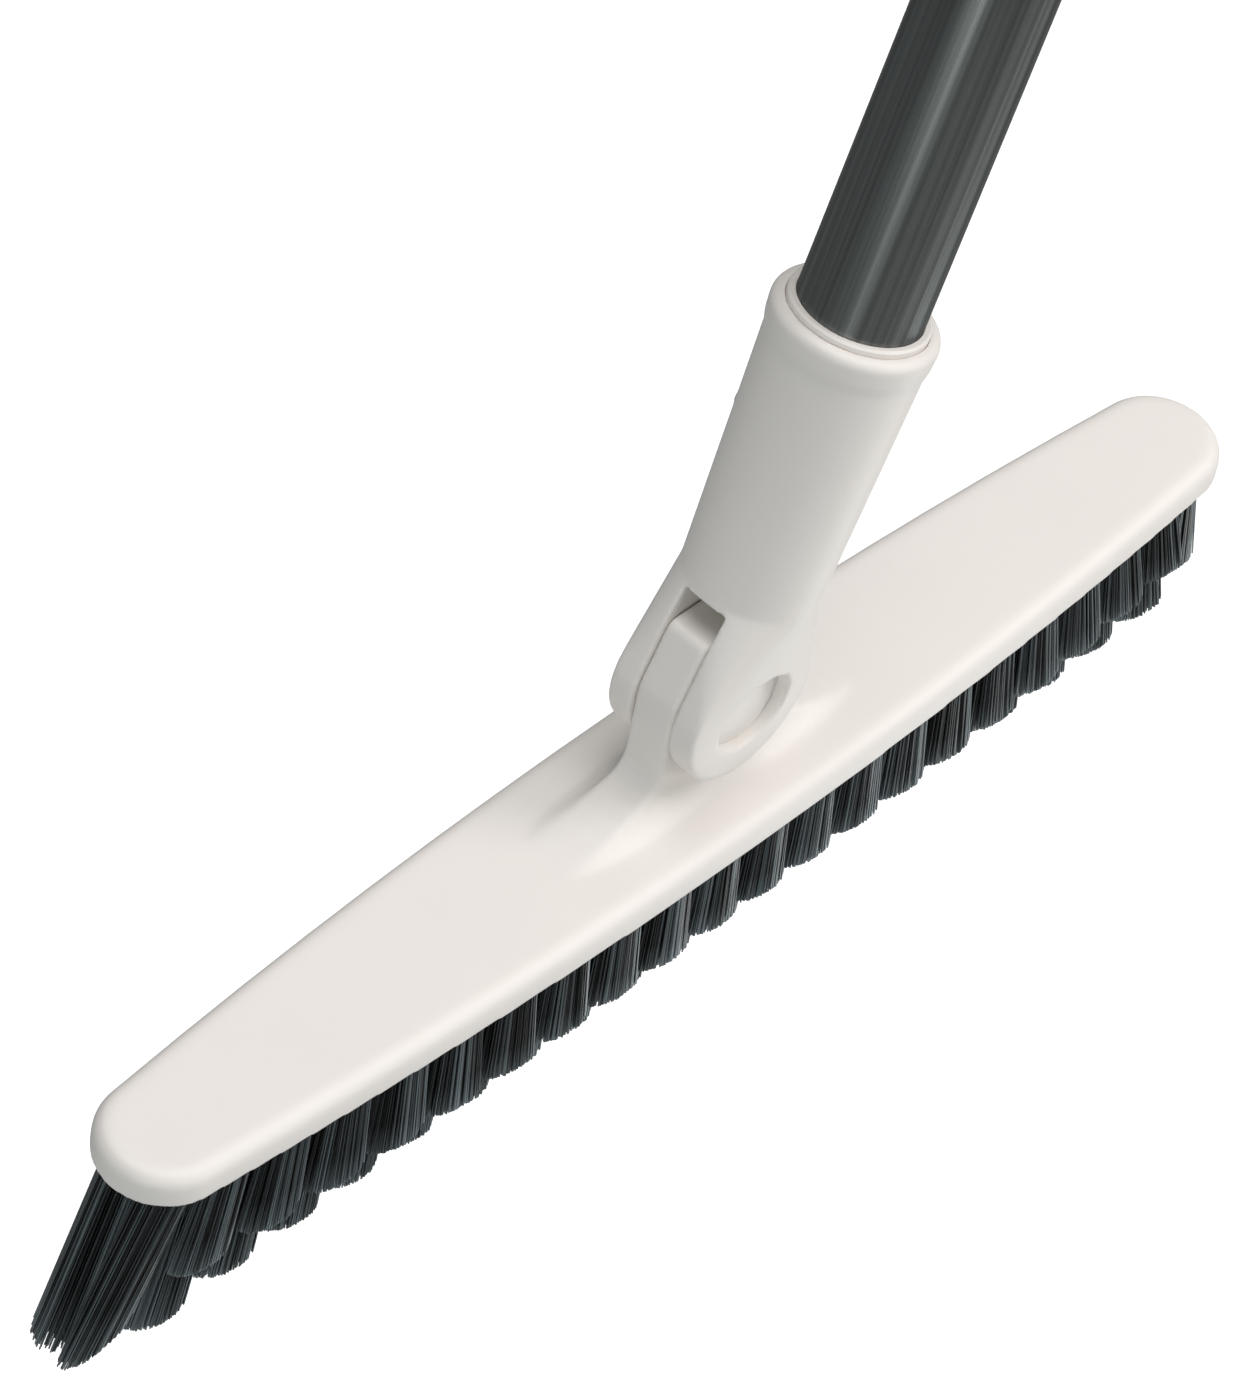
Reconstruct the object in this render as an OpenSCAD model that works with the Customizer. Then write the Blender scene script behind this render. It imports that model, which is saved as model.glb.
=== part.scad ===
// Grout brush: a narrow head with V-trimmed bristles, swivelling on a telescopic pole.
// Millimetres. The origin is the middle of the hang hole at the top of the pole. +Z is up from
// the floor, +X runs along the head towards the side that the pole leans to, and the head is level.

/* [Head cover] */
// Length of the head cover
head_l = 270; // [240:1:330]
// Width of the head cover at its middle
head_w = 34.8; // [34:0.2:42]
// Width of the head cover's round ends
head_end_w = 23.6; // [22.6:0.2:28]
// Height of the head cover's side, from its lower rim to its top face
head_h = 6.8; // [6.4:0.1:8]
// Radius of the edge between the side and the top face
head_edge_r = 2.9; // [1:0.1:3]
// Wall of the cover's skirt
cover_wall = 2.2; // [1.6:0.1:2.4]
// Thickness of the cover's top
cover_top = 2; // [1.2:0.1:2.2]

/* [Tongue] */
// Height of the pivot above the cover's lower rim
pivot_h = 27.9; // [27:0.1:36]
// Half-length of the tongue's neck, along the head
neck_half = 14.2; // [11:0.1:14.4]
// Half-length of the tongue's flat top
tongue_top_half = 9.2; // [6:0.1:10]
// Height of the tongue's flat top above the pivot
tongue_rise = 16.6; // [13:0.1:17]
// Rounding of the tongue's upper corners
tongue_round = 1.6; // [0.5:0.1:3]
// Reach of the fillet at the tongue's foot, along the head
foot_reach_x = 30; // [8:0.5:34]
// Height of the fillet's ends, along the head
foot_rise_x = 9; // [5:0.5:9]
// Reach of the fillet at the tongue's foot, across the head
foot_reach_y = 6.5; // [4:0.5:8]

/* [Fork and pin] */
// Lean of the pole from upright, towards +X, as photographed
pole_lean = 14; // [0:1:40]
// Radius of the fork's round cheeks
cheek_r = 14.8; // [14.6:0.1:16]
// Width across the two cheeks
fork_w = 19.6; // [18.6:0.2:23]
// Rounding of the cheeks' outer edges
cheek_edge = 0.8; // [0.2:0.1:1.4]
// Width of the slot between the cheeks
slot_w = 9; // [8:0.1:9.6]
// Radius of the pivot pin
pin_r = 3.5; // [2.5:0.1:4.5]
// Radius of the round recess in each cheek
recess_r = 8.1; // [7:0.1:9]
// Depth of each recess left open above the pin's head
recess_open = 1.8; // [0.5:0.1:2]
// Thickness of the pin's head and of its retainer
pin_head_h = 1.6; // [1:0.1:1.8]
// Radius of the screw that joins the pin and its retainer
pin_screw_r = 1.25; // [1:0.05:1.5]
// Thickness of a friction washer
washer_h = 0.5; // [0.3:0.1:0.8]
// Radius of a friction washer
washer_r = 9; // [7:0.1:11]

/* [Socket] */
// Distance from the pivot to the socket's lower end
socket_from = 21; // [20.8:0.1:26]
// Length of the socket, from its lower end to the lip's top
socket_l = 56.3; // [48:0.1:80]
// Radius of the socket at its lower end
socket_r0 = 12.2; // [12:0.1:13.5]
// Radius of the socket below its lip
socket_r1 = 13.9; // [13.8:0.1:16]
// Amount that the lip stands out
lip_out = 0.7; // [0.2:0.1:1.5]
// Height of the lip
lip_h = 7; // [5:0.1:9]
// Rounding of the lip
lip_round = 1.9; // [0.5:0.1:2]
// Depth that the pole goes into the socket
pole_depth = 35; // [28:1:50]
// Length of the ferrule in the socket's mouth
ferrule_l = 12; // [8:0.5:16]
// Wall of the ferrule
ferrule_wall = 1.3; // [0.8:0.05:1.4]
// Amount that the ferrule stands out of the lip
ferrule_out = 1.1; // [0.4:0.1:3]

/* [Pole] */
// Radius of the lower tube
low_r = 11; // [10.5:0.05:11.2]
// Wall of the lower tube
low_wall = 0.9; // [0.6:0.1:1.5]
// Radius of the upper tube
up_r = 12.5; // [12.4:0.1:14]
// Wall of the upper tube
up_wall = 0.8; // [0.6:0.05:0.8]
// Length of the upper tube
up_l = 514; // [420:1:900]
// Distance from the pivot to the upper tube's lower end, with the pole pushed in
up_from = 186; // [176:1:200]
// Room left under the end cap with the pole pushed in
end_room = 17; // [5:1:40]
// Length of the plug in each end of the lower tube
tube_plug_l = 18; // [15:1:30]
// Radius of the stem that the guide bush turns on
stem_r = 7; // [5:0.1:8]
// Length of the guide bush
bush_l = 20; // [12:1:30]

/* [Clamp] */
// Length of the lock collar
collar_l = 22; // [20:0.5:30]
// Radius of the lock collar
collar_r = 17; // [16:0.1:20]
// Number of grip grooves round the collar
collar_grooves = 18; // [8:1:24]
// Length of the collet's slotted fingers
finger_l = 18; // [12:0.5:19]
// Radius of the collet's fingers
finger_r = 13.4; // [12.5:0.1:14]
// Length of the collet's neck inside the upper tube
neck_l = 26; // [15:1:40]
// Height of the collet's flange
flange_h = 3.5; // [2:0.1:5]
// Width of the slots between the collet's fingers
finger_slot = 1.2; // [0.8:0.1:2]

/* [Grip and cap] */
// Length of the grip
grip_l = 130; // [90:1:180]
// Radius of the grip
grip_r = 15.5; // [14.8:0.1:18]
// Number of rings round the grip
grip_rings = 16; // [6:1:24]
// Distance from the grip's top to the tube's end
grip_gap = 14; // [10:1:40]
// Length of the end cap's plug
cap_plug_l = 20; // [16:1:30]
// Height of the end cap's dome
cap_dome_h = 12; // [8:0.5:16]
// Radius of the hang hole
hang_r = 4; // [2.5:0.1:5]
// Thickness of the hang eye
eye_w = 9; // [6:0.5:12]
// Radius of the hang eye
eye_r = 11; // [9:0.5:12]
// Distance from the tube's end to the hang hole
eye_from = 22; // [20:0.5:32]

/* [Bristles] */
// Number of tufts in each row
tufts = 20; // [16:2:20]
// Offset of the rows from the head's middle
tuft_shift = 1.2; // [-2:0.1:2]
// Distance from the cover's edge to the outer rows
outer_inset = 5.2; // [4.9:0.1:5.4]
// Distance from the middle line to the inner rows at the head's middle
inner_y = 4.8; // [4.6:0.1:5]
// Bristle length below the rim in the outer rows
outer_len = 21.5; // [14:0.5:30]
// Bristle length below the rim in the inner rows
inner_len = 37; // [25:0.5:45]
// Slope of the trim across each tuft
trim_slope = 0.7; // [0:0.05:1]
// Distance from the middle line to the outer rows' tips
outer_tip_y = 12.6; // [12:0.1:14]
// Fan of the bristles at the head's near end, in degrees
near_fan = 24; // [0:1:25]
// Fan of the bristles at the head's far end, in degrees
far_fan = 13; // [0:1:20]
// Extra length of the bristles at the head's near end
near_longer = 7.6; // [0:0.2:8]
// Radius of one strand
strand_r = 0.75; // [0.4:0.05:0.8]
// Radius of the ring of strands at a tuft's root
root_ring = 2.2; // [1.8:0.1:2.3]
// Radius of the ring of strands at a tuft's tip
tip_ring = 3.6; // [1.8:0.1:3.7]
// Thickness of the bristle pads
pad_h = 2; // [1.8:0.1:2.2]
// Height of the pads' lower face above the cover's rim
pad_lift = 0.4; // [0:0.1:0.8]

/* [Fasteners] */
// Radius of the pad screws' heads
pad_head_r = 2.6; // [2:0.1:2.7]
// Radius of the pad screws' threads
pad_screw_r = 1.4; // [1:0.1:1.6]
// Radius of the socket screw's thread
side_screw_r = 1.9; // [1.5:0.1:2.2]
// Radius of the socket screw's head
side_head_r = 3.4; // [2.8:0.1:4]
// Radius of the pin through the end cap
cap_pin_r = 1.5; // [1:0.1:2]

/* [Hidden] */

cream = [0.93, 0.9, 0.87];
charcoal = [0.2, 0.22, 0.23];
dark_steel = [0.27, 0.28, 0.27];
screw_steel = [0.7, 0.71, 0.73];
black = [0.08, 0.08, 0.085];

// Clearances that pieces share
fit = 0.05;       // running fit between a shaft and its bore
seat = 0.1;       // loose seat of a screw, a pin's head or a washer
side_gap = 0.15;  // gap beside the tongue
gap = 0.3;        // gap beside another moving face
part_gap = 0.25;  // gap round the bristle pads
web_gap = 1.8;    // gap between the tongue's corners and the slot's end
over = 1;         // overrun of a cut
embed = 0.4;      // depth that a fused shape is sunk into the next

// Head outline
end_r = head_end_w / 2;
end_x = head_l / 2 - end_r;
belly = (head_w - head_end_w) / 2;
arc_steps = 18;
side_steps = 16;
edge_steps = 6;
function half_w(x) = head_w / 2 - belly * pow(x / end_x, 2);
function side_x(i) = -end_x + 2 * end_x * i / side_steps;
// One closed outline, counter-clockwise, drawn in from the cover's edge by d
function outline(d) = concat(
    [for (i = [0:side_steps]) [side_x(i), d - half_w(side_x(i))]],
    [for (i = [1:arc_steps - 1]) let (a = -90 + 180 * i / arc_steps)
        [end_x + (end_r - d) * cos(a), (end_r - d) * sin(a)]],
    [for (i = [side_steps:-1:0]) [side_x(i), half_w(side_x(i)) - d]],
    [for (i = [1:arc_steps - 1]) let (a = 90 + 180 * i / arc_steps)
        [-end_x + (end_r - d) * cos(a), (end_r - d) * sin(a)]]);

// Arc that rounds the corner b between a and c by r
function unit(v) = v / norm(v);
function rounded(a, b, c, r, steps = 5) = let (
    u = unit(a - b),
    v = unit(c - b),
    half = acos(u * v) / 2,
    middle = b + unit(u + v) * r / sin(half),
    first = b + u * r / tan(half) - middle,
    turn = (cross(u, v) < 0 ? 1 : -1) * (180 - 2 * half))
    [for (i = [0:steps]) let (t = turn * i / steps)
        middle + [first[0] * cos(t) - first[1] * sin(t), first[0] * sin(t) + first[1] * cos(t)]];

// Swivel and socket, measured along the pole from the pivot
pin_hole_r = pin_r + fit;
tongue_w = slot_w - 2 * side_gap;
slot_top = norm([tongue_top_half, tongue_rise]) + web_gap;
washer_in = tongue_w / 2 + fit;
washer_out = washer_in + washer_h;
recess_floor = fork_w / 2 - recess_open - pin_head_h;
retainer_face = recess_floor + pin_head_h;
pin_thread_l = 7;
pin_screw_head_r = 2.8;
pin_screw_head_h = 1.3;
socket_to = socket_from + socket_l;
ferrule_r = low_r + ferrule_wall;
ferrule_to = socket_to + ferrule_out;
low_from = socket_to - pole_depth;
plug_flange = 2;
screw_at = low_from + tube_plug_l / 2;
socket_r_at_screw = socket_r0 + (socket_r1 - socket_r0) * (screw_at - socket_from) / (socket_l - lip_h);
side_head_h = 1.6;
side_seat = socket_r_at_screw - side_head_h + 0.2;
side_tip = low_r - 6;

// Pole, clamp and cap
low_in = low_r - low_wall;
up_in = up_r - up_wall;
up_to = up_from + up_l;
clip_h = 2;
clip_wall = 2.5;
clip_mouth = 3;
stem_end = 1;
low_to = up_to - cap_plug_l - end_room - plug_flange - bush_l - gap - clip_h - stem_end;
finger_from = up_from - flange_h - finger_l;
collar_to = up_from - flange_h - gap;
collar_from = collar_to - collar_l;
collar_bore = low_r + gap;
hang_at = up_to + eye_from;
cap_pin_at = up_to - grip_gap / 2;
cap_rim = 1;
hang_x = hang_at * sin(pole_lean);
hang_z = pivot_h + hang_at * cos(pole_lean);

// Bristle pads and tufts
pad_to = pad_lift + pad_h;
pad_edge = cover_wall + part_gap;
pad_sink = 0.9;
pad_head_h = 1.1;
pad_screw_top = head_h - 1.2;
rib = 1.6;
boss_r = 3.4;
row_share = 0.855;  // share of the head's length that the rows take
end_past = 1;       // distance of the end tufts past the middle of the head's round ends
end_tuft_y = 4.4;
end_tip_y = 4.6;
end_shorter = 2;
tip_tuck = 3.5;
row_end = row_share * head_l / 2;
tuft_pitch = 2 * row_end / (tufts - 1);
near_count = floor(tufts * 0.35);
far_first = tufts - near_count;
function tuft_x(i) = tuft_shift + tuft_pitch * i - row_end;
function row_y(x) = half_w(x) - outer_inset;
function narrowing(x) = row_y(x) / row_y(0);
function fan_at(x) = (x < 0 ? -near_fan : far_fan) * pow(x / (head_l / 2), 2);
function longer(x) = x < 0 ? near_longer * pow(x / (head_l / 2), 8) : 0;
// Each tuft is [root x, root y, tip y, length]
function row_tufts(a, b) = [for (i = [a:b], side = [-1, 1]) let (x = tuft_x(i)) each [
    [x, side * row_y(x), side * (outer_tip_y - tip_tuck * pow(x / (head_l / 2), 4)), outer_len + longer(x)],
    [x, side * inner_y * narrowing(x), side * inner_y * (1 + narrowing(x)) / 2, inner_len + longer(x)]]];
function end_tufts(x) = [for (side = [-1, 1])
    [x, side * end_tuft_y, side * end_tip_y, inner_len - end_shorter + longer(x)]];
split_near = (tuft_x(near_count - 1) + tuft_x(near_count)) / 2;
split_far = (tuft_x(far_first - 1) + tuft_x(far_first)) / 2;
screw_xs = [for (i = [1, near_count - 3, near_count + 1, far_first - 3, far_first + 1, tufts - 3])
    (tuft_x(i) + tuft_x(i + 1)) / 2];

module at_origin() {
    translate([-hang_x, 0, -hang_z]) children();
}

module on_pole() {
    at_origin() translate([0, 0, pivot_h]) rotate([0, pole_lean, 0]) children();
}

// A round bar or hole across the pole, from y0 to y1
module across(r, y0, y1) {
    translate([0, y0, 0]) rotate([-90, 0, 0]) cylinder(r = r, h = y1 - y0, $fn = 48);
}

// A round body about the pole, from a list of [radius, distance] points
module turned(points) {
    rotate_extrude($fn = 64) polygon(points);
}

module tube(r_out, r_in, from, to) {
    turned([[r_in, from], [r_out, from], [r_out, to], [r_in, to]]);
}

// Skin through rings of equal point counts, from the lowest ring up
module loft(rings) {
    n = len(rings[0]);
    m = len(rings);
    points = [for (ring = rings, p = ring) p];
    sides = [for (k = [0:m - 2], i = [0:n - 1]) let (a = k * n + i, b = k * n + (i + 1) % n)
        each [[a, a + n, b + n], [a, b + n, b]]];
    bottom = [for (i = [0:n - 1]) i];
    top = [for (i = [0:n - 1]) m * n - 1 - i];
    polyhedron(points = points, faces = concat(sides, [bottom, top]), convexity = 4);
}

module head_shell() {
    levels = concat([[0, 0]], [for (k = [0:edge_steps]) let (a = 90 * k / edge_steps)
        [head_edge_r * (1 - cos(a)), head_h - head_edge_r + head_edge_r * sin(a)]]);
    loft([for (v = levels) [for (p = outline(v[0])) [p[0], p[1], v[1]]]]);
}

// Reach of a concave fillet of height h and length r, at the height z over its foot
function fillet(z, h, r) = z < h ? r * (1 - sqrt(1 - pow(1 - z / h, 2))) : 0;

// Concave fillet that carries the tongue on the cover's top face
module tongue_foot() {
    steps = 8;
    corner_steps = 5;
    skin = 0.02;
    rise_x = foot_rise_x + embed;
    rise_y = pivot_h - cheek_r - gap - head_h + embed;
    loft([for (k = [0:steps]) let (z = rise_x * pow(k / steps, 1.6),
        out_x = fillet(z, rise_x, foot_reach_x) + skin, out_y = fillet(z, rise_y, foot_reach_y) + skin)
        [for (quarter = [0:3], c = [0:corner_steps]) let (a = 90 * quarter + 90 * c / corner_steps,
            side_x = quarter == 0 || quarter == 3 ? 1 : -1, side_y = quarter < 2 ? 1 : -1)
            [side_x * neck_half + out_x * cos(a), side_y * tongue_w / 2 + out_y * sin(a), z + head_h - embed]]]);
}

module tongue() {
    waist_round = 8;
    foot = [neck_half, head_h - over];
    waist = [neck_half, pivot_h + tongue_rise * 0.25];
    shoulder = [tongue_top_half, pivot_h + tongue_rise];
    peak = [0, shoulder[1]];
    half = concat([foot], rounded(foot, waist, shoulder, waist_round), rounded(waist, shoulder, peak, tongue_round));
    mirrored = [for (i = [len(half) - 1:-1:0]) [-half[i][0], half[i][1]]];
    translate([0, tongue_w / 2, 0]) rotate([90, 0, 0]) linear_extrude(tongue_w) polygon(concat(half, mirrored));
}

module cover_pockets() {
    ceiling = head_h - cover_top;
    difference() {
        translate([0, 0, pad_to - 0.01]) linear_extrude(ceiling - pad_to + 0.01)
            polygon(outline(cover_wall + rib));
        for (side = [-1, 1]) translate([-head_l / 2, side * inner_y - rib / 2, 0]) cube([head_l, rib, head_h]);
        for (x = [split_near, split_far, 0]) translate([x - rib, -head_w / 2, 0]) cube([2 * rib, head_w, head_h]);
        for (x = screw_xs) translate([x, 0, 0]) cylinder(r = boss_r, h = head_h, $fn = 32);
        translate([-neck_half, -tongue_w / 2, 0]) cube([2 * neck_half, tongue_w, head_h]);
    }
}

module head_cover() {
    color(cream) at_origin() difference() {
        union() {
            head_shell();
            tongue_foot();
            tongue();
        }
        translate([0, 0, -over]) linear_extrude(pad_to + over) polygon(outline(cover_wall));
        cover_pockets();
        translate([0, 0, pivot_h]) across(pin_hole_r, -head_w, head_w);
        for (x = screw_xs) translate([x, 0, 0])
            cylinder(r = pad_screw_r + fit, h = pad_screw_top + gap, $fn = 24);
    }
}

// One strand: a three-sided bar from its root in the pad to its flat tip
module strand(root, tip, turn) {
    ring = [for (k = [0:2]) let (a = turn + 120 * k) [strand_r * cos(a), strand_r * sin(a), 0]];
    points = concat([for (p = ring) tip + p], [for (p = ring) root + p]);
    polyhedron(points = points, faces = [
        [0, 1, 2], [3, 5, 4], [0, 3, 1], [1, 3, 4], [1, 4, 2], [2, 4, 5], [2, 5, 0], [0, 5, 3]]);
}

// Four strands round a fifth, fanned along the head and trimmed to the V
module tuft(t) {
    lean = tan(fan_at(t[0]));
    squeeze = narrowing(t[0]);
    for (k = [0:4]) {
        a = 45 + 90 * k;
        ring = k == 4 ? 0 : 1;
        root = [t[0] + ring * root_ring * cos(a), t[1] + ring * root_ring * squeeze * sin(a), pad_lift + pad_h / 2];
        tip_y = t[2] + ring * tip_ring * sin(a);
        drop = t[3] + trim_slope * (abs(t[2]) - abs(tip_y));
        tip_x = t[0] + ring * tip_ring * cos(a) + lean * (drop + pad_lift);
        strand(root, [tip_x, tip_y, -drop], 30 * k);
    }
}

// A slice of the pad from x = a to x = b, with its tufts fused to it
module bristle_pad(a, b, list) {
    color(charcoal) at_origin() difference() {
        union() {
            intersection() {
                translate([0, 0, pad_lift]) linear_extrude(pad_h) polygon(outline(pad_edge));
                translate([a, -head_w, 0]) cube([b - a, 2 * head_w, head_h]);
            }
            for (t = list) tuft(t);
        }
        for (x = screw_xs) if (x > a && x < b) translate([x, 0, 0]) {
            cylinder(r = pad_screw_r + seat, h = head_h, $fn = 24);
            translate([0, 0, -over]) cylinder(r = pad_head_r + seat, h = over + pad_lift + pad_sink, $fn = 32);
        }
    }
}

module bristle_pad_near() {
    bristle_pad(-head_l, split_near - part_gap / 2,
        concat(row_tufts(0, near_count - 1), end_tufts(-end_x - end_past)));
}

module bristle_pad_middle() {
    bristle_pad(split_near + part_gap / 2, split_far - part_gap / 2, row_tufts(near_count, far_first - 1));
}

module bristle_pad_far() {
    bristle_pad(split_far + part_gap / 2, head_l,
        concat(row_tufts(far_first, tufts - 1), end_tufts(end_x + end_past)));
}

module pad_screws() {
    seat_z = pad_lift + pad_sink;
    color(screw_steel) at_origin() for (x = screw_xs) translate([x, 0, seat_z]) {
        translate([0, 0, -pad_head_h]) cylinder(r = pad_head_r, h = pad_head_h, $fn = 32);
        cylinder(r = pad_screw_r, h = pad_screw_top - seat_z, $fn = 24);
    }
}

module cheek_disc(r, w) {
    translate([0, -w / 2, 0]) rotate([-90, 0, 0]) cylinder(r = r, h = w, $fn = 40);
}

module fork_body() {
    hull() {
        translate([0, 0, socket_from]) cylinder(r = socket_r0, h = over, $fn = 40);
        cheek_disc(cheek_r, fork_w - 2 * cheek_edge);
        cheek_disc(cheek_r - 0.3 * cheek_edge, fork_w - 0.6 * cheek_edge);
        cheek_disc(cheek_r - cheek_edge, fork_w);
    }
}

module socket_body() {
    neck = [socket_r1, socket_to - lip_h];
    lip = [socket_r1 + lip_out, socket_to];
    turned(concat([[0, socket_from], [socket_r0, socket_from], neck, neck + [0.7 * lip_out, 0.3 * lip_h]],
        rounded(lip - [0, lip_h / 2], lip, [0, socket_to], lip_round), [[0, socket_to]]));
}

module socket_fork() {
    color(cream) on_pole() difference() {
        union() {
            fork_body();
            socket_body();
        }
        translate([-2 * cheek_r, -slot_w / 2, -2 * cheek_r]) cube([4 * cheek_r, slot_w, 2 * cheek_r + slot_top]);
        across(washer_r + seat, -washer_out, washer_out);
        across(pin_hole_r, -fork_w, fork_w);
        across(recess_r, recess_floor, fork_w);
        across(recess_r, -fork_w, -recess_floor);
        translate([0, 0, low_from - plug_flange]) cylinder(r = low_r + fit, h = socket_l, $fn = 64);
        translate([0, 0, ferrule_to - ferrule_l]) cylinder(r = ferrule_r + fit, h = ferrule_l + over, $fn = 64);
        translate([0, 0, screw_at]) {
            across(side_screw_r + fit, 0, 2 * socket_r1);
            across(side_head_r + seat, side_seat, 2 * socket_r1);
        }
    }
}

module pivot_pin() {
    color(cream) on_pole() difference() {
        union() {
            across(pin_r, -recess_floor - pin_head_h / 2, recess_floor);
            across(recess_r - seat, -retainer_face, -recess_floor);
        }
        across(pin_screw_r + fit, recess_floor - pin_thread_l - over, recess_floor + over);
    }
}

module pin_retainer() {
    color(cream) on_pole() difference() {
        across(recess_r - seat, recess_floor, retainer_face);
        across(pin_screw_r + gap, recess_floor - over, retainer_face + over);
    }
}

module pin_screw() {
    color(screw_steel) on_pole() {
        across(pin_screw_r, recess_floor - pin_thread_l, retainer_face + pin_screw_head_h / 2);
        across(pin_screw_head_r, retainer_face, retainer_face + pin_screw_head_h);
    }
}

module friction_washers() {
    color(black) on_pole() for (side = [-1, 1]) difference() {
        across(washer_r, side > 0 ? washer_in : -washer_out, side > 0 ? washer_out : -washer_in);
        across(pin_r + seat, -slot_w, slot_w);
    }
}

module socket_ferrule() {
    chamfer = 0.4;
    color(cream) on_pole() turned([[low_r + fit, ferrule_to - ferrule_l], [ferrule_r, ferrule_to - ferrule_l],
        [ferrule_r, ferrule_to - chamfer], [ferrule_r - chamfer, ferrule_to], [low_r + fit, ferrule_to]]);
}

module socket_screw() {
    color(screw_steel) on_pole() translate([0, 0, screw_at]) {
        across(side_screw_r, side_tip, side_seat + side_head_h / 2);
        across(side_head_r, side_seat, side_seat + side_head_h);
    }
}

// Plug that closes the lower tube's foot and takes the socket screw
module foot_plug() {
    foot = low_from - plug_flange;
    color(black) on_pole() difference() {
        turned([[0, foot], [low_r, foot], [low_r, low_from], [low_in, low_from],
            [low_in, low_from + tube_plug_l], [0, low_from + tube_plug_l]]);
        translate([0, 0, screw_at]) across(side_screw_r + fit, side_tip - over, 2 * low_r);
    }
}

module lower_tube() {
    color(dark_steel) on_pole() difference() {
        tube(low_r, low_in, low_from, low_to);
        translate([0, 0, screw_at]) across(side_screw_r + fit, 0, 2 * low_r);
    }
}

// Plug in the lower tube's top, with the stem that the guide bush turns on
module stem_plug() {
    shoulder = low_to + plug_flange;
    top = shoulder + bush_l + gap + clip_h + stem_end;
    color(black) on_pole() turned([[0, low_to - tube_plug_l], [low_in, low_to - tube_plug_l], [low_in, low_to],
        [low_r, low_to], [low_r, shoulder], [stem_r, shoulder], [stem_r, top], [0, top]]);
}

module stem_clip() {
    from = low_to + plug_flange + bush_l + gap;
    color(screw_steel) on_pole() difference() {
        tube(stem_r + clip_wall, stem_r, from, from + clip_h);
        translate([0, -clip_mouth / 2, from - over])
            cube([stem_r + 2 * clip_wall, clip_mouth, clip_h + 2 * over]);
    }
}

module guide_bush() {
    chamfer = 0.8;
    from = low_to + plug_flange + gap / 2;
    to = from + bush_l;
    r = up_in - fit;
    color(cream) on_pole() turned([[stem_r + fit, from], [r - chamfer, from], [r, from + chamfer],
        [r, to - chamfer], [r - chamfer, to], [stem_r + fit, to]]);
}

module upper_tube() {
    color(dark_steel) on_pole() difference() {
        tube(up_r, up_in, up_from, up_to);
        translate([0, 0, cap_pin_at]) across(cap_pin_r + fit, -up_r - over, up_r + over);
    }
}

// Neck inside the upper tube, a flange on its end, and four fingers that the collar squeezes
module collet() {
    bore = low_r + fit;
    flange_r = up_r + 2;
    chamfer = 0.8;
    flange_from = up_from - flange_h;
    neck_to = up_from + neck_l;
    color(black) on_pole() difference() {
        turned([[bore, finger_from], [finger_r - chamfer, finger_from], [finger_r, finger_from + 2 * chamfer],
            [finger_r, flange_from], [flange_r, flange_from], [flange_r, up_from], [up_in, up_from],
            [up_in, neck_to - chamfer], [(up_in + bore) / 2, neck_to], [bore, neck_to]]);
        for (a = [0, 90]) rotate([0, 0, a]) translate([-2 * finger_r, -finger_slot / 2, finger_from - over])
            cube([4 * finger_r, finger_slot, finger_l - 2 * chamfer + over]);
    }
}

module lock_collar() {
    taper = 2.5;
    groove_r = 1.2;
    sleeve_from = finger_from - gap;
    sleeve_r = finger_r + seat;
    color(black) on_pole() difference() {
        turned([[collar_bore, collar_from], [collar_r - taper, collar_from], [collar_r, collar_from + taper],
            [collar_r, collar_to - taper], [collar_r - taper / 2, collar_to], [sleeve_r, collar_to],
            [sleeve_r, sleeve_from], [collar_bore, sleeve_from]]);
        for (i = [0:collar_grooves - 1]) rotate([0, 0, 360 * i / collar_grooves])
            translate([collar_r + groove_r / 3, 0, collar_from - over])
            cylinder(r = groove_r, h = collar_l + 2 * over, $fn = 16);
    }
}

module grip() {
    to = up_to - grip_gap;
    from = to - grip_l;
    step = grip_l / grip_rings;
    dip = 1.2;
    color(black) on_pole() turned(concat([[up_r, from], [grip_r - dip, from]],
        [for (i = [0:grip_rings - 1]) let (z = from + step * i)
            each [[grip_r, z + step * 0.3], [grip_r, z + step * 0.7], [grip_r - dip, z + step]]],
        [[up_r, to]]));
}

module end_cap() {
    rim_r = up_r + cap_rim;
    dome_to = up_to + cap_dome_h;
    color(cream) on_pole() difference() {
        union() {
            turned(concat([[0, up_to - cap_plug_l], [up_in, up_to - cap_plug_l], [up_in, up_to], [rim_r, up_to]],
                rounded([rim_r, up_to], [rim_r, dome_to], [0, dome_to], cap_dome_h / 2), [[0, dome_to]]));
            translate([-eye_r, -eye_w / 2, up_to]) cube([2 * eye_r, eye_w, eye_from]);
            translate([0, 0, hang_at]) across(eye_r, -eye_w / 2, eye_w / 2);
        }
        translate([0, 0, hang_at]) across(hang_r, -eye_w, eye_w);
        translate([0, 0, cap_pin_at]) across(cap_pin_r + fit, -up_r - over, up_r + over);
    }
}

module cap_pin() {
    color(screw_steel) on_pole() translate([0, 0, cap_pin_at]) across(cap_pin_r, -up_r, up_r);
}

head_cover();
bristle_pad_near();
bristle_pad_middle();
bristle_pad_far();
pad_screws();
socket_fork();
pivot_pin();
pin_retainer();
pin_screw();
friction_washers();
socket_ferrule();
socket_screw();
foot_plug();
lower_tube();
stem_plug();
stem_clip();
guide_bush();
upper_tube();
collet();
lock_collar();
grip();
end_cap();
cap_pin();
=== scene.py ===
"""Grout brush: a narrow head with V-trimmed bristles, swivelling on a telescopic pole.

Everything is in metres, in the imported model's frame: the origin is the hang hole at the top of
the pole, +X runs along the head towards the side that the pole leans to, and +Z is up.
"""
import math

import bmesh
import bpy
from mathutils import Matrix, Vector


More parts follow.
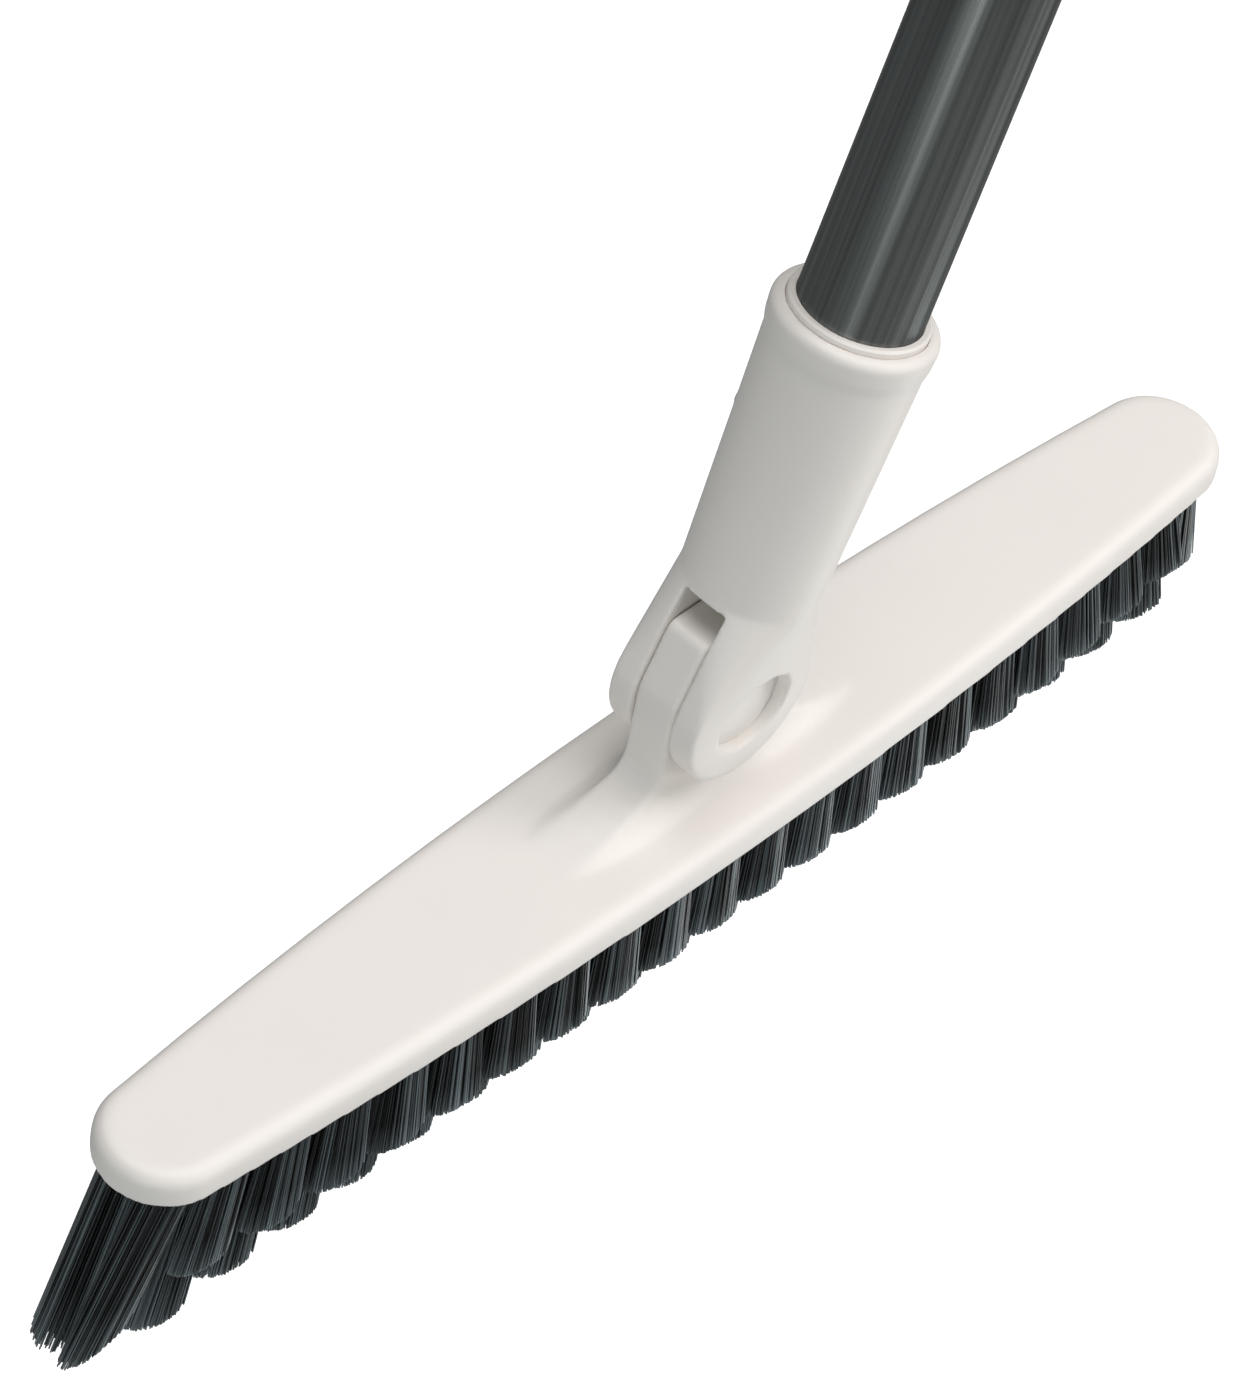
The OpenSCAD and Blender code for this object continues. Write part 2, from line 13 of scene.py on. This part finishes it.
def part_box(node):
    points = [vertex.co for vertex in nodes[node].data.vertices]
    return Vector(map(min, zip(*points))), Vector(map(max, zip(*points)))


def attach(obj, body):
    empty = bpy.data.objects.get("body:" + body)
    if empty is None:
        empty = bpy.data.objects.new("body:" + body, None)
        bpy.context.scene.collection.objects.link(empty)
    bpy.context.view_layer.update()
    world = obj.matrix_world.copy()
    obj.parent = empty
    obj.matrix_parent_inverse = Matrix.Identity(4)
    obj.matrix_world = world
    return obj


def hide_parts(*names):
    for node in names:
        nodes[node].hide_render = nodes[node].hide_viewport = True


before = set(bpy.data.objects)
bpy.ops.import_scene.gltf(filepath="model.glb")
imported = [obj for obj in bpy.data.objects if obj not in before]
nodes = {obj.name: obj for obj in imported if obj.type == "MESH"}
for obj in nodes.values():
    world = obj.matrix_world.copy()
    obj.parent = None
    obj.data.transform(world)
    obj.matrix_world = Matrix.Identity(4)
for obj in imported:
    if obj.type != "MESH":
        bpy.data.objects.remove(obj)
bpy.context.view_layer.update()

MM = 0.001

# Places shared with the part's source: the swivel's pivot, and the middle of the cover's rim
POLE_LEAN = math.radians(14)
PIVOT_TO_HOLE = 722 * MM
PIVOT_HEIGHT = 27.9 * MM
ALONG_POLE = Vector((math.sin(POLE_LEAN), 0, math.cos(POLE_LEAN)))
PIVOT = -PIVOT_TO_HOLE * ALONG_POLE
RIM = PIVOT - Vector((0, 0, PIVOT_HEIGHT))


def link(name, mesh):
    piece = bpy.data.objects.new(name, mesh)
    bpy.context.scene.collection.objects.link(piece)
    return piece


def settle(piece):
    """Turns what the modifiers make into the piece's plain mesh, and removes the modifiers."""
    graph = bpy.context.evaluated_depsgraph_get()
    mesh = bpy.data.meshes.new_from_object(piece.evaluated_get(graph), depsgraph=graph)
    piece.modifiers.clear()
    piece.data = mesh


# Camera and light

# The camera that was fitted to the photograph: its axes, its distance and aim, and its focal length
CAMERA_BACK = Vector((-0.5585, -0.3903, 0.7320))
CAMERA_RIGHT = Vector((0.6853, -0.7144, 0.1419))
CAMERA_UP = Vector((0.4675, 0.5810, 0.6664))
CAMERA_DISTANCE = 1.2
CAMERA_SHIFT = Vector((0.00697, 0.02014, 0))
FOCAL_PIXELS = 6981
PHOTO_HEIGHT = 1398
SENSOR_WIDTH = 36

# Depth of the floor under the bristles at rest, so that the head clears it at the pole's full length
FLOOR_DROP = 495 * MM
FLOOR_HALF = 1.1
FLOOR_GLOW = 0.7

WARM = (1, 0.968, 0.955)
COOL = (0.95, 1, 1)

# Name, place from the pivot, size, power in watts and colour of each lamp
LAMPS = (
    ("overhead", (0.15, -0.1, 1.5), 1.2, 16.5, WARM),
    ("key", (0.85, -0.8, 0.9), 0.5, 7, WARM),
    ("low_side", (0.5, -1, 0.15), 0.35, 2.2, WARM),
    ("tube_glint", (0.28, -0.22, -0.33), 0.14, 0.22, COOL),
    ("low_fill", (-0.95, -0.4, 0.12), 0.2, 2.2, COOL),
)
AIR_COLOUR = (0.92, 0.98, 1, 1)
AIR_STRENGTH = 0.2


def place_camera():
    """The photograph's view, from above the head's near end."""
    place = RIM + CAMERA_BACK * CAMERA_DISTANCE + CAMERA_SHIFT
    data = bpy.data.cameras.new("camera")
    data.sensor_fit = "AUTO"
    data.sensor_width = SENSOR_WIDTH
    data.lens = FOCAL_PIXELS * SENSOR_WIDTH / PHOTO_HEIGHT
    data.clip_start = 0.01
    camera = bpy.data.objects.new("camera", data)
    camera.matrix_world = Matrix(
        [(CAMERA_RIGHT[i], CAMERA_UP[i], CAMERA_BACK[i], place[i]) for i in range(3)] + [(0, 0, 0, 1)])
    bpy.context.scene.collection.objects.link(camera)
    bpy.context.scene.camera = camera


def add_lamp(name, place, size, watts, colour):
    """A soft square lamp that faces the head."""
    data = bpy.data.lights.new(name, "AREA")
    data.size = size
    data.energy = watts
    data.color = colour
    lamp = bpy.data.objects.new(name, data)
    lamp.location = PIVOT + Vector(place)
    lamp.rotation_euler = Vector(place).to_track_quat("Z", "Y").to_euler()
    lamp.visible_camera = False
    bpy.context.scene.collection.objects.link(lamp)


def light_studio():
    """The lamps, and a world that the camera sees as white and that lights as dim air."""
    bpy.context.scene.view_settings.view_transform = "Standard"
    for lamp in LAMPS:
        add_lamp(*lamp)
    world = bpy.data.worlds.new("studio")
    bpy.context.scene.world = world
    world.use_nodes = True
    tree = world.node_tree
    tree.nodes.clear()
    seen = tree.nodes.new("ShaderNodeBackground")
    seen.inputs["Color"].default_value = (1, 1, 1, 1)
    air = tree.nodes.new("ShaderNodeBackground")
    air.inputs["Color"].default_value = AIR_COLOUR
    air.inputs["Strength"].default_value = AIR_STRENGTH
    rays = tree.nodes.new("ShaderNodeLightPath")
    mix = tree.nodes.new("ShaderNodeMixShader")
    out = tree.nodes.new("ShaderNodeOutputWorld")
    tree.links.new(rays.outputs["Is Camera Ray"], mix.inputs[0])
    tree.links.new(air.outputs[0], mix.inputs[1])
    tree.links.new(seen.outputs[0], mix.inputs[2])
    tree.links.new(mix.outputs[0], out.inputs[0])


def lay_floor():
    """A pale floor, low enough for the head at the pole's full length, which the camera sees as white."""
    low = min(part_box(name)[0][2] for name in nodes)
    corners = ((-1, -1), (1, -1), (1, 1), (-1, 1))
    mesh = bpy.data.meshes.new("floor")
    mesh.from_pydata([(x * FLOOR_HALF, y * FLOOR_HALF, low - FLOOR_DROP) for x, y in corners],
                     [], [(0, 1, 2, 3)])
    floor = link("floor", mesh)
    paint = bpy.data.materials.new("pale_floor")
    paint.use_nodes = True
    tree = paint.node_tree
    body = tree.nodes["Principled BSDF"]
    body.inputs["Base Color"].default_value = (0.8, 0.8, 0.8, 1)
    body.inputs["Roughness"].default_value = 0.9
    glow = tree.nodes.new("ShaderNodeEmission")
    rays = tree.nodes.new("ShaderNodeLightPath")
    level = tree.nodes.new("ShaderNodeMath")
    level.operation = "MULTIPLY"
    level.inputs[1].default_value = FLOOR_GLOW
    both = tree.nodes.new("ShaderNodeAddShader")
    tree.links.new(rays.outputs["Is Camera Ray"], level.inputs[0])
    tree.links.new(level.outputs[0], glow.inputs["Strength"])
    tree.links.new(body.outputs[0], both.inputs[0])
    tree.links.new(glow.outputs[0], both.inputs[1])
    tree.links.new(both.outputs[0], tree.nodes["Material Output"].inputs["Surface"])
    mesh.materials.append(paint)


# Finishes

def new_node(tree, kind, values=(), **settings):
    """Adds a node. values are its sockets' constants or the outputs that feed them."""
    node = tree.nodes.new(kind)
    for name, value in settings.items():
        setattr(node, name, value)
    for socket, value in dict(values).items():
        if isinstance(value, bpy.types.NodeSocket):
            tree.links.new(value, node.inputs[socket])
        else:
            node.inputs[socket].default_value = value
    return node


def build_surface_grain():
    """Group: large soft tone patches, and a fine grain that changes roughness and height."""
    tree = bpy.data.node_groups.new("surface_grain", "ShaderNodeTree")
    face = tree.interface
    for name, kind, value in (
            ("Vector", "NodeSocketVector", (0, 0, 0)), ("Colour", "NodeSocketColor", (1, 1, 1, 1)),
            ("Patch Scale", "NodeSocketFloat", 30), ("Patch Contrast", "NodeSocketFloat", 0.1),
            ("Grain Scale", "NodeSocketFloat", 2000), ("Roughness", "NodeSocketFloat", 0.5),
            ("Roughness Change", "NodeSocketFloat", 0.1), ("Grain Height", "NodeSocketFloat", 0.00002)):
        face.new_socket(name, in_out="INPUT", socket_type=kind).default_value = value
    for name, kind in (("Colour", "NodeSocketColor"), ("Roughness", "NodeSocketFloat"),
                       ("Normal", "NodeSocketVector")):
        face.new_socket(name, in_out="OUTPUT", socket_type=kind)
    given = tree.nodes.new("NodeGroupInput").outputs
    patches = new_node(tree, "ShaderNodeTexNoise", {
        "Vector": given["Vector"], "Scale": given["Patch Scale"], "Detail": 3})
    centred = new_node(tree, "ShaderNodeMath", {0: patches.outputs["Fac"], 1: 0.5}, operation="SUBTRACT")
    tone = new_node(tree, "ShaderNodeMath", {
        0: centred.outputs[0], 1: given["Patch Contrast"], 2: 1}, operation="MULTIPLY_ADD")
    tinted = new_node(tree, "ShaderNodeVectorMath", {
        0: given["Colour"], "Scale": tone.outputs[0]}, operation="SCALE")
    grain = new_node(tree, "ShaderNodeTexNoise", {
        "Vector": given["Vector"], "Scale": given["Grain Scale"], "Detail": 2})
    uneven = new_node(tree, "ShaderNodeMath", {0: grain.outputs["Fac"], 1: 0.5}, operation="SUBTRACT")
    rough = new_node(tree, "ShaderNodeMath", {
        0: uneven.outputs[0], 1: given["Roughness Change"],
        2: given["Roughness"]}, operation="MULTIPLY_ADD")
    bump = new_node(tree, "ShaderNodeBump", {
        "Strength": 1, "Distance": given["Grain Height"], "Height": grain.outputs["Fac"]})
    out = tree.nodes.new("NodeGroupOutput")
    tree.links.new(tinted.outputs[0], out.inputs["Colour"])
    tree.links.new(rough.outputs[0], out.inputs["Roughness"])
    tree.links.new(bump.outputs[0], out.inputs["Normal"])
    return tree


surface_grain = build_surface_grain()


def finish(name, colour, roughness, patch=(30, 0.1), grain=(2000, 0.1, 0.02), stretch=None, **shader):
    """A material made from the grain group. grain is scale, roughness change and height in mm."""
    paint = bpy.data.materials.new(name)
    paint.use_nodes = True
    tree = paint.node_tree
    body = tree.nodes["Principled BSDF"]
    place = tree.nodes.new("ShaderNodeTexCoord").outputs["Object"]
    if stretch:
        place = new_node(tree, "ShaderNodeMapping", {
            "Vector": place, "Rotation": (0, POLE_LEAN, 0), "Scale": (1, 1, stretch)},
            vector_type="TEXTURE").outputs[0]
    group = new_node(tree, "ShaderNodeGroup", node_tree=surface_grain)
    for socket, value in (("Colour", (*colour, 1)), ("Patch Scale", patch[0]), ("Patch Contrast", patch[1]),
                          ("Grain Scale", grain[0]), ("Roughness", roughness),
                          ("Roughness Change", grain[1]), ("Grain Height", grain[2] * MM)):
        group.inputs[socket].default_value = value
    tree.links.new(place, group.inputs["Vector"])
    for socket, value in (("Base Color", "Colour"), ("Roughness", "Roughness"), ("Normal", "Normal")):
        tree.links.new(group.outputs[value], body.inputs[socket])
    for socket, value in shader.items():
        body.inputs[socket.replace("_", " ")].default_value = value
    return paint


# How much the colour is lifted towards the strands' tips: a painted highlight for the light the cut tips
# catch
TIP_HIGHLIGHT = 3.2


def finish_bristle():
    """Nylon filament: each strand has its own tone, plus a painted highlight on one side of each tuft, and
    the colour is lifted towards the cut tips as a painted highlight.
    """
    paint = finish("bristle", (0.024, 0.029, 0.031), 0.38, patch=(60, 0.3))
    tree = paint.node_tree
    body = tree.nodes["Principled BSDF"]
    colour = body.inputs["Base Color"].links[0].from_socket
    # Each strand's random tone together with the painted highlight on one side of its tuft
    tone_and_highlight = new_node(tree, "ShaderNodeAttribute", attribute_name="strand_tone_and_highlight")
    along = new_node(tree, "ShaderNodeAttribute", attribute_name="strand_along")
    tip = new_node(tree, "ShaderNodeMapRange", {
        "Value": along.outputs["Fac"], "From Min": 0.7, "From Max": 1, "To Min": 0, "To Max": 1})
    tone = new_node(tree, "ShaderNodeMapRange", {
        "Value": tone_and_highlight.outputs["Fac"], "From Min": 0.4, "From Max": 0.95,
        "To Min": 0.1, "To Max": 10}).outputs[0]
    # Painted highlight: each strand's colour is lifted towards its cut tip
    lift = new_node(tree, "ShaderNodeMath", {0: tip.outputs[0], 1: TIP_HIGHLIGHT, 2: tone},
                    operation="MULTIPLY_ADD")
    varied = new_node(tree, "ShaderNodeVectorMath", {
        0: colour, "Scale": lift.outputs[0]}, operation="SCALE")
    tree.links.new(varied.outputs[0], body.inputs["Base Color"])
    return paint


cream = finish("cream_plastic", (0.85, 0.815, 0.775), 0.5, patch=(25, 0.05), grain=(1500, 0.12, 0.006))
tube = finish("dark_tube", (0.16, 0.168, 0.164), 0.32, patch=(700, 1.9), grain=(1500, 0.3, 0.01),
              stretch=150, Metallic=0.85, Specular_Tint=(0.3, 0.31, 0.32, 1))
black = finish("black_plastic", (0.018, 0.018, 0.02), 0.5, grain=(2500, 0.15, 0.015))
rubber = finish("soft_grip", (0.022, 0.022, 0.024), 0.75, patch=(90, 0.3), grain=(1800, 0.2, 0.05))
steel = finish("screw_steel", (0.55, 0.56, 0.58), 0.32, grain=(1200, 0.2, 0.004), Metallic=1)
bristle = finish_bristle()

KEPT_NODES = (
    (cream, ("pivot_pin", "pin_retainer", "socket_ferrule", "guide_bush", "end_cap")),
    (tube, ("lower_tube", "upper_tube")),
    (black, ("friction_washers", "foot_plug", "stem_plug", "collet", "lock_collar")),
    (rubber, ("grip",)),
    (steel, ("pad_screws", "pin_screw", "socket_screw", "stem_clip", "cap_pin")),
)


def paint_kept_nodes():
    for paint, names in KEPT_NODES:
        for name in names:
            for slot in nodes[name].material_slots:
                slot.material = paint


# Moulded pieces

WELD = 0.002 * MM


def mould(node, body, voxel, passes, lean, keep):
    """Replaces a CAD node by a finer copy of its skin with softly rounded edges.

    The skin is rebuilt upright, lean being its tilt, in voxels of the given size. It is then smoothed
    in the given number of passes, and thinned to the share of its faces in keep.
    """
    mesh = nodes[node].data.copy()
    upright = Matrix.Rotation(-lean, 4, "Y")
    mesh.transform(upright)
    skin = bmesh.new()
    skin.from_mesh(mesh)
    bmesh.ops.remove_doubles(skin, verts=skin.verts, dist=WELD)
    skin.to_mesh(mesh)
    skin.free()
    piece = link(node + "_moulded", mesh)
    remesh = piece.modifiers.new("remesh", "REMESH")
    remesh.mode = "VOXEL"
    remesh.voxel_size = voxel
    relax = piece.modifiers.new("relax", "SMOOTH")
    relax.factor = 0.5
    relax.iterations = passes
    piece.modifiers.new("thin", "DECIMATE").ratio = keep
    settle(piece)
    piece.data.transform(upright.inverted())
    piece.data.shade_smooth()
    piece.data.materials.clear()
    piece.data.materials.append(cream)
    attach(piece, body)
    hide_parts(node)


# Bristles, in millimetres from the middle of the cover's rim, and in degrees

ROWS = 20
ROW_PITCH = 12.15
ROW_SHIFT = 1.2
NEAR_ROWS = 7
FAR_FIRST = 13
HALF_LENGTH = 135
END_MIDDLE = 123.2
HALF_WIDTH = 17.4
END_NARROWER = 5.6
PAD_LIFT = 0.4
PAD_DEPTH = 1
CUT_ABOVE = 0.02

# How far the strands fan out at each end, and how much longer they get at the near end
NEAR_FAN = 25
FAR_FAN = 16
NEAR_LONGER = 7.6

# The short outer rows
OUTER_INSET = 5.2
OUTER_TIP_Y = 12.6
OUTER_TUCK = 8
OUTER_LENGTH = 21.5

# The long inner rows
INNER_Y = 4.8
INNER_LENGTH = 37

# The tufts past the rows, at the round ends
END_PAST = 1
END_ROOT_Y = 4.4
END_TIP_Y = 3.3
END_LENGTH = 31.5
END_ROOT = (4.8, 4)
END_TIP = (7.4, 4)
NEAR_SLANT = 3.5
FAR_SLANT = -1

# Radii of the rows' tufts along and across the head
ROOT = (4.7, 3.7)
TIP_ALONG = 5.9
OUTER_TIP_ACROSS = 4.8
INNER_TIP_ACROSS = 5

STRANDS = 400
FIRST_SEED = 11


def half_width(x):
    return HALF_WIDTH - END_NARROWER * (x / END_MIDDLE) ** 2


def longer(x):
    return NEAR_LONGER * (x / HALF_LENGTH) ** 8 if x < 0 else 0


def tuft_layout():
    """Root x, root y, tip y, length, root radii, tip radii and tip slant of each tuft, for each pad."""
    pads = {"near": [], "middle": [], "far": []}
    for row in range(ROWS):
        x = ROW_SHIFT + ROW_PITCH * (row - (ROWS - 1) / 2)
        outer = half_width(x) - OUTER_INSET
        share = outer / (half_width(0) - OUTER_INSET)
        pad = "near" if row < NEAR_ROWS else "far" if row >= FAR_FIRST else "middle"
        outer_tip_y = OUTER_TIP_Y - OUTER_TUCK * (x / HALF_LENGTH) ** 4
        outer_tip = (TIP_ALONG, OUTER_TIP_ACROSS * (1 + share) / 2)
        inner_tip_y = INNER_Y * (1 + share) / 2
        inner_tip = (TIP_ALONG, INNER_TIP_ACROSS)
        root = (ROOT[0], ROOT[1] * share)
        for side in (-1, 1):
            pads[pad].append((x, side * outer, side * outer_tip_y, OUTER_LENGTH + longer(x),
                              root, outer_tip, 0))
            pads[pad].append((x, side * INNER_Y * share, side * inner_tip_y, INNER_LENGTH + longer(x),
                              root, inner_tip, 0))
    for pad, x, slant in (("near", -END_MIDDLE - END_PAST, NEAR_SLANT),
                          ("far", END_MIDDLE + END_PAST, FAR_SLANT)):
        for side in (-1, 1):
            pads[pad].append((x, side * END_ROOT_Y, side * END_TIP_Y, END_LENGTH + longer(x),
                              END_ROOT, END_TIP, slant))
    return pads


GOLDEN_ANGLE = 2.39996
CLUMP_SCALE = 330
SHADE_CHANGE = 0.12


def build_tuft_tree():
    """Geometry nodes: from one point per tuft to a bundle of trimmed, fanned strands."""
    tree = bpy.data.node_groups.new("bristle_tufts", "GeometryNodeTree")
    face = tree.interface
    face.new_socket("Tufts", in_out="INPUT", socket_type="NodeSocketGeometry")
    for name, kind, value in (
            ("Strands", "NodeSocketInt", STRANDS), ("Strand Radius", "NodeSocketFloat", 0.00018),
            ("Trim Slope", "NodeSocketFloat", 0.7), ("Length Change", "NodeSocketFloat", 0.00025),
            ("Stray", "NodeSocketFloat", 0.00012), ("Dome", "NodeSocketFloat", 0.002),
            ("Seed", "NodeSocketInt", 5)):
        face.new_socket(name, in_out="INPUT", socket_type=kind).default_value = value
    face.new_socket("Material", in_out="INPUT", socket_type="NodeSocketMaterial")
    face.new_socket("Bristles", in_out="OUTPUT", socket_type="NodeSocketGeometry")
    given = tree.nodes.new("NodeGroupInput").outputs

    def add(kind, values=(), **settings):
        return new_node(tree, kind, values, **settings)

    def maths(operation, a, b=0.0, c=0.0):
        return add("ShaderNodeMath", {0: a, 1: b, 2: c}, operation=operation).outputs[0]

    def vectors(operation, a, b):
        return add("ShaderNodeVectorMath", {0: a, 1: b}, operation=operation).outputs[0]

    def read(name, kind="FLOAT_VECTOR"):
        return add("GeometryNodeInputNamedAttribute", {"Name": name}, data_type=kind).outputs["Attribute"]

    def chance(low, high, extra):
        seed = add("FunctionNodeIntegerMath", {0: given["Seed"], 1: extra}).outputs[0]
        return add("FunctionNodeRandomValue", {2: low, 3: high, 8: seed}, data_type="FLOAT").outputs[1]

    def store(shape, name, value, kind="FLOAT_VECTOR"):
        return add("GeometryNodeStoreNamedAttribute", {
            "Geometry": shape, "Name": name, "Value": value}, data_type=kind, domain="POINT").outputs[0]

    many = add("GeometryNodeDuplicateElements", {
        "Geometry": given["Tufts"], "Amount": given["Strands"]}, domain="POINT")
    number = many.outputs["Duplicate Index"]
    share = maths("DIVIDE", maths("ADD", number, chance(0.1, 0.9, 1)), given["Strands"])
    reach = maths("SQRT", share)
    angle = maths("ADD", maths("MULTIPLY", number, GOLDEN_ANGLE), chance(0, 0.9, 2))
    disc = add("ShaderNodeCombineXYZ", {
        0: maths("MULTIPLY", reach, maths("COSINE", angle)),
        1: maths("MULTIPLY", reach, maths("SINE", angle))}).outputs[0]
    middle_of_root = add("GeometryNodeInputPosition").outputs[0]
    root = vectors("ADD", middle_of_root, vectors("MULTIPLY", disc, read("root_size")))
    middle = read("tip_middle")
    spread = vectors("MULTIPLY", disc, read("tip_size"))
    stray = add("ShaderNodeCombineXYZ", {
        0: maths("MULTIPLY", chance(-1, 1, 3), given["Stray"]),
        1: maths("MULTIPLY", chance(-1, 1, 4), given["Stray"]),
        2: maths("MULTIPLY", chance(-1, 1, 5), given["Length Change"])}).outputs[0]
    flat_tip = vectors("ADD", vectors("ADD", middle, spread), stray)
    tip_y = add("ShaderNodeSeparateXYZ", {0: flat_tip}).outputs[1]
    middle_y = add("ShaderNodeSeparateXYZ", {0: middle}).outputs[1]
    outward = maths("SUBTRACT", maths("ABSOLUTE", tip_y), maths("ABSOLUTE", middle_y))
    rise = maths("MULTIPLY", outward, given["Trim Slope"])
    shorter = maths("MULTIPLY", maths("MULTIPLY", share, share), given["Dome"])
    across = add("ShaderNodeSeparateXYZ", {0: disc}).outputs[0]
    slope = maths("MULTIPLY_ADD", across, read("tip_slant", "FLOAT"), maths("ADD", rise, shorter))
    tip = vectors("ADD", flat_tip, add("ShaderNodeCombineXYZ", {2: slope}).outputs[0])
    clump = add("ShaderNodeTexNoise", {"Vector": tip, "Scale": CLUMP_SCALE, "Detail": 1}).outputs["Fac"]
    # Painted highlight: strands towards one side of each tuft get a paler tone, standing in for the light
    # that falls on that side
    painted_side_highlight = add("ShaderNodeMapRange", {
        "Value": across, "From Min": 0.42, "From Max": 0.95, "To Max": 0.46},
        interpolation_type="SMOOTHSTEP")
    tone_and_highlight = maths("ADD", maths("ADD", clump, painted_side_highlight.outputs[0]), chance(-SHADE_CHANGE, SHADE_CHANGE, 6))
    points = store(many.outputs[0], "strand_root", root)
    points = store(points, "strand_tip", tip)
    points = store(points, "strand_tone_and_highlight", tone_and_highlight, "FLOAT")

    line = add("GeometryNodeCurvePrimitiveLine", {"Start": (0, 0, 0), "End": (0, 0, 1)})
    stem = add("GeometryNodeResampleCurve", {"Curve": line.outputs[0], "Count": 3})
    stems = add("GeometryNodeInstanceOnPoints", {"Points": points, "Instance": stem.outputs[0]})
    loose = add("GeometryNodeRealizeInstances", {0: stems.outputs[0]}).outputs[0]
    along = add("GeometryNodeSplineParameter").outputs["Factor"]
    loose = store(loose, "strand_along", along, "FLOAT")
    path = add("ShaderNodeMix", {0: along, 4: read("strand_root"), 5: read("strand_tip")},
               data_type="VECTOR").outputs[1]
    bent = add("GeometryNodeSetPosition", {"Geometry": loose, "Position": path})
    profile = add("GeometryNodeCurvePrimitiveCircle", {"Resolution": 3, "Radius": given["Strand Radius"]})
    solid = add("GeometryNodeCurveToMesh", {
        "Curve": bent.outputs[0], "Profile Curve": profile.outputs[0], "Fill Caps": True})
    whole = add("GeometryNodeRealizeInstances", {0: solid.outputs[0]})
    coated = add("GeometryNodeSetMaterial", {"Geometry": whole.outputs[0], "Material": given["Material"]})
    out = tree.nodes.new("NodeGroupOutput")
    tree.links.new(coated.outputs[0], out.inputs[0])
    return tree


def backing_plate(node):
    """The pad's plate with its screw holes: the CAD pad without what stands below its lower face."""
    plate = bmesh.new()
    plate.from_mesh(nodes[node].data)
    bmesh.ops.remove_doubles(plate, verts=plate.verts, dist=WELD)
    cut = bmesh.ops.bisect_plane(
        plate, geom=plate.verts[:] + plate.edges[:] + plate.faces[:],
        plane_co=RIM + Vector((0, 0, (PAD_LIFT + CUT_ABOVE) * MM)), plane_no=(0, 0, -1), clear_outer=True)
    rim = [e for e in cut["geom_cut"] if isinstance(e, bmesh.types.BMEdge)]
    bmesh.ops.triangle_fill(plate, edges=rim, use_beauty=True, normal=(0, 0, -1))
    bmesh.ops.recalc_face_normals(plate, faces=plate.faces)
    return plate


def make_bristles():
    """One piece per pad: its plate and its strands, in place of the CAD pad."""
    tree = build_tuft_tree()
    sockets = {item.name: item.identifier for item in tree.interface.items_tree}
    for pad, tufts in tuft_layout().items():
        node = "bristle_pad_" + pad
        mesh = bpy.data.meshes.new("tufts_" + pad)
        mesh.from_pydata([RIM + MM * Vector((t[0], t[1], PAD_LIFT + PAD_DEPTH)) for t in tufts], [], [])
        tips, roots, ends, slants = [], [], [], []
        for x, y, tip_y, length, root, tip, slant in tufts:
            fan = math.radians((-NEAR_FAN if x < 0 else FAR_FAN) * abs(x / HALF_LENGTH) ** 3)
            tip_x = x + math.tan(fan) * (length + PAD_LIFT)
            tips.extend(RIM + MM * Vector((tip_x, tip_y, -length)))
            roots.extend(MM * Vector((*root, 0)))
            ends.extend(MM * Vector((*tip, 0)))
            slants.append(slant * MM)
        for name, values in (("tip_middle", tips), ("root_size", roots), ("tip_size", ends)):
            mesh.attributes.new(name, "FLOAT_VECTOR", "POINT").data.foreach_set("vector", values)
        mesh.attributes.new("tip_slant", "FLOAT", "POINT").data.foreach_set("value", slants)
        piece = link("bristles_" + pad, mesh)
        growth = piece.modifiers.new("tufts", "NODES")
        growth.node_group = tree
        growth[sockets["Strands"]] = STRANDS
        growth[sockets["Seed"]] = FIRST_SEED + len(tufts) + len(pad)
        growth[sockets["Material"]] = bristle
        settle(piece)
        whole = backing_plate(node)
        for face in whole.faces:
            face.material_index = 1
        whole.from_mesh(piece.data)
        whole.to_mesh(piece.data)
        whole.free()
        piece.data.materials.clear()
        piece.data.materials.append(bristle)
        piece.data.materials.append(black)
        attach(piece, "head")
        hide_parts(node)


place_camera()
light_studio()
lay_floor()
paint_kept_nodes()
mould("head_cover", "head", voxel=0.5 * MM, passes=10, lean=0, keep=0.4)
mould("socket_fork", "lower", voxel=0.4 * MM, passes=8, lean=POLE_LEAN, keep=0.6)
make_bristles()
